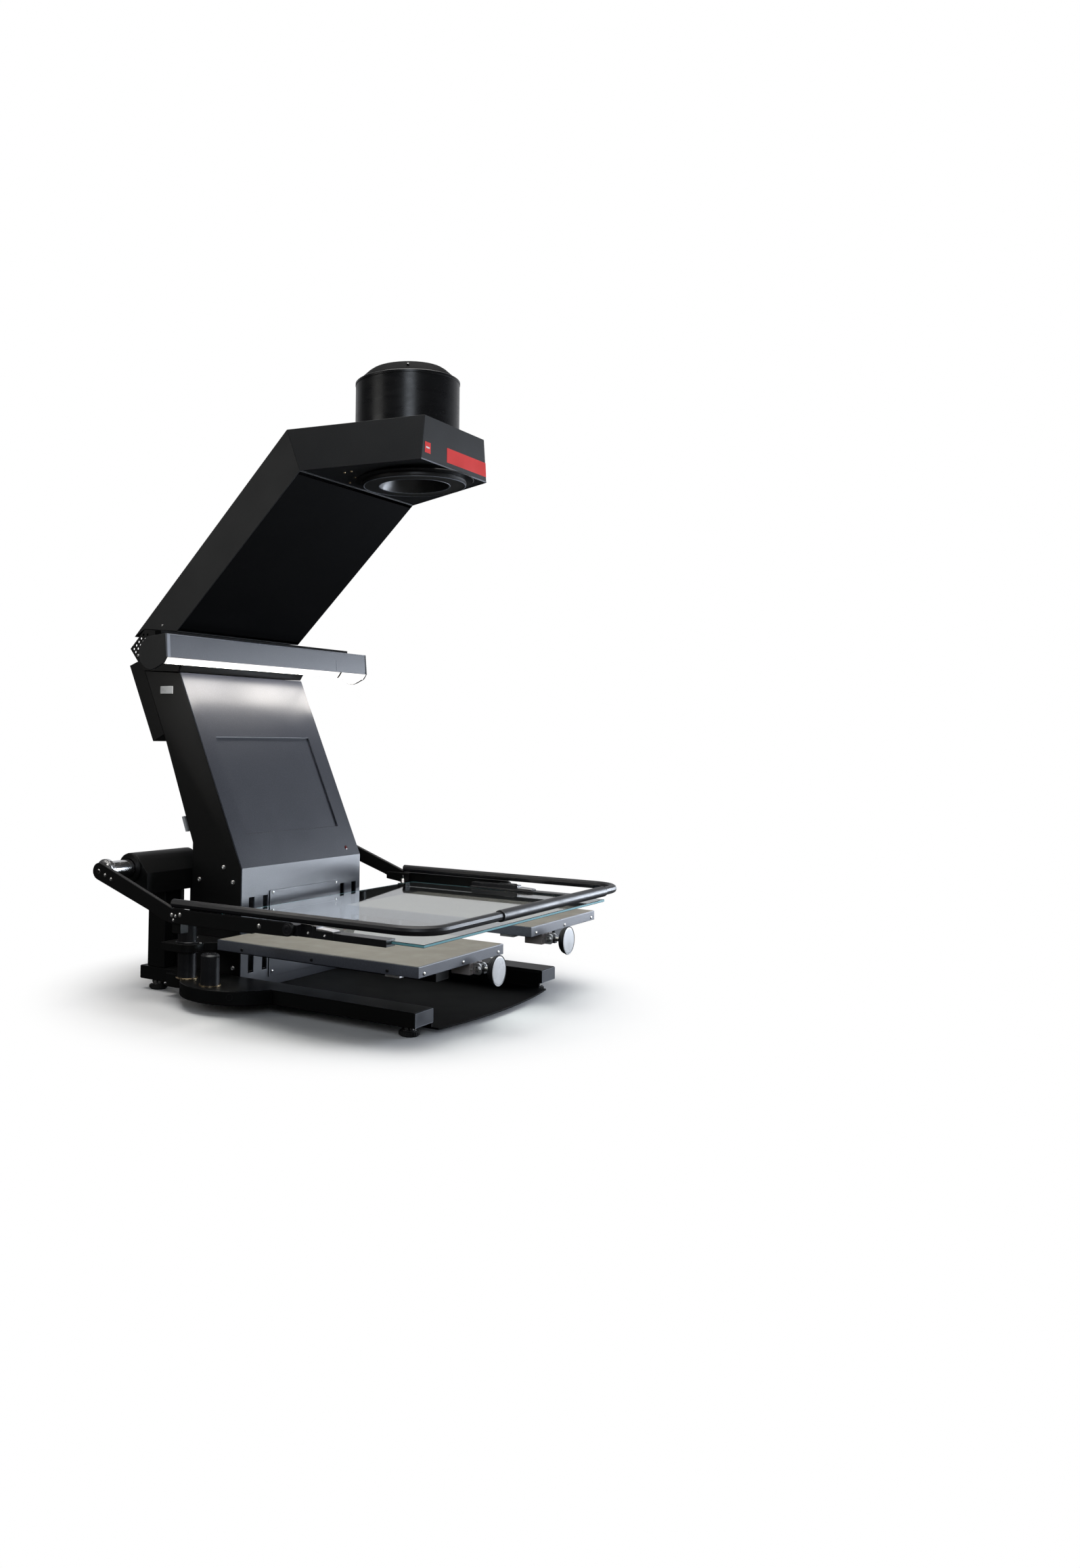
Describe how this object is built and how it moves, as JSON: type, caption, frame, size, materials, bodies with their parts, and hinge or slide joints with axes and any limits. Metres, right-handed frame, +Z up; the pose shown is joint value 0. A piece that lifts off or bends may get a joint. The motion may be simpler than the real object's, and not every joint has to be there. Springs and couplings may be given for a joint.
{
  "type": "book scanner",
  "caption": "Overhead book scanner: leaning column with lamp bar and camera head above a swinging glass plate and two rising book plates.",
  "frame": {"origin": "middle of the footprint box, on the floor", "axes": "+Z up, -Y towards the user, +X to the user's right"},
  "size_m": [0.79, 0.8342, 1.21],
  "materials": {
    "grey_paint": "fine satin powder coat",
    "black_paint": "fine satin powder coat",
    "black_gloss": "gloss",
    "black_tube": "gloss black lacquer",
    "anodised": "black anodised",
    "bright_metal": "milled",
    "chrome": "polished",
    "rubber": "matt",
    "diffuser": "opal",
    "glass": "clear with green edges",
    "white_disc": "smooth white face on a black grip"
  },
  "bodies": {
    "base": {"arm_cover": "black_paint", "arm_shell": "black_paint", "base_beam_left": "black_paint", "base_beam_right": "black_paint", "camera_body": "black_gloss", "camera_drum": "black_gloss", "column_front": "grey_paint", "column_shell": "black_paint", "display_panel": "black_paint", "drive_housing_left": "black_paint", "drive_housing_right": "black_paint", "drum_cap": "black_gloss", "floor_plate": "black_paint", "guide_post_left": "anodised", "guide_post_right": "anodised", "head_floor": "black_paint", "head_shell": "black_paint", "hinge_plate_left": "black_paint", "hinge_plate_right": "black_paint", "lamp_cap_left": "black_paint", "lamp_cap_right": "black_paint", "lamp_diffuser": "diffuser", "lamp_housing": "grey_paint", "lens_ring": "black_gloss", "lift_damper_left": "anodised", "lift_damper_right": "anodised", "lower_cover": "grey_paint", "neck_shell": "black_paint", "rear_box": "black_paint", "rear_latch": "bright_metal", "rear_post_left": "black_paint", "rear_post_right": "black_paint", "side_pod_left": "black_paint", "side_pod_right": "black_paint", "side_socket": "bright_metal"},
    "glass_frame": {"pivot_shaft_left": "chrome", "pivot_shaft_right": "chrome", "swing_arm_left": "black_paint", "swing_arm_right": "black_paint", "side_rail_left": "black_paint", "side_rail_right": "black_paint", "handle_tube": "black_tube", "grip_sleeve": "black_tube"},
    "glass_holder": {"glass_plate": "glass", "glass_clip_left": "black_gloss", "glass_clip_right": "black_gloss"},
    "lift_left": {"lift_bracket_left": "black_paint", "slide_rail_left": "bright_metal"},
    "plate_left": {"book_plate_left": "grey_paint", "clamp_block_left": "bright_metal"},
    "knob_left": {"clamp_knob_left": "white_disc"},
    "foot_front_left_body": {"foot_front_left": "rubber"},
    "foot_rear_left_body": {"foot_rear_left": "rubber"},
    "lift_right": {"lift_bracket_right": "black_paint", "slide_rail_right": "bright_metal"},
    "plate_right": {"book_plate_right": "grey_paint", "clamp_block_right": "bright_metal"},
    "knob_right": {"clamp_knob_right": "white_disc"},
    "foot_front_right_body": {"foot_front_right": "rubber"},
    "foot_rear_right_body": {"foot_rear_right": "rubber"}
  },
  "joints": [
    {"name": "glass_frame_swing", "type": "hinge", "parent": "base", "child": "glass_frame", "pos_m": [0, 0.2947, 0.2433], "axis": [-1, 0, 0], "range_deg": [0, 50]},
    {"name": "glass_tilt", "type": "hinge", "parent": "glass_frame", "child": "glass_holder", "pos_m": [0, -0.1442, 0.1802], "axis": [1, 0, 0], "range_deg": [-3, 3]},
    {"name": "lift_left_slide", "type": "slide", "parent": "base", "child": "lift_left", "axis": [0, 0, 1], "range_m": [-0.045, 0.015]},
    {"name": "plate_left_slide", "type": "slide", "parent": "lift_left", "child": "plate_left", "axis": [1, 0, 0], "range_m": [-0.02, 0.045]},
    {"name": "clamp_left_turn", "type": "hinge", "parent": "plate_left", "child": "knob_left", "pos_m": [-0.14, -0.4029, 0.107], "axis": [0, 1, 0], "continuous": true},
    {"name": "lift_right_slide", "type": "slide", "parent": "base", "child": "lift_right", "axis": [0, 0, 1], "range_m": [-0.06, 0]},
    {"name": "plate_right_slide", "type": "slide", "parent": "lift_right", "child": "plate_right", "axis": [-1, 0, 0], "range_m": [-0.02, 0.045]},
    {"name": "clamp_right_turn", "type": "hinge", "parent": "plate_right", "child": "knob_right", "pos_m": [0.14, -0.4029, 0.1222], "axis": [0, 1, 0], "continuous": true},
    {"name": "foot_front_left_turn", "type": "hinge", "parent": "base", "child": "foot_front_left_body", "pos_m": [-0.238, -0.2859, 0], "axis": [0, 0, 1], "continuous": true},
    {"name": "foot_front_right_turn", "type": "hinge", "parent": "base", "child": "foot_front_right_body", "pos_m": [0.238, -0.2859, 0], "axis": [0, 0, 1], "continuous": true},
    {"name": "foot_rear_left_turn", "type": "hinge", "parent": "base", "child": "foot_rear_left_body", "pos_m": [-0.2175, 0.3041, 0], "axis": [0, 0, 1], "continuous": true},
    {"name": "foot_rear_right_turn", "type": "hinge", "parent": "base", "child": "foot_rear_right_body", "pos_m": [0.2175, 0.3041, 0], "axis": [0, 0, 1], "continuous": true}
  ]
}
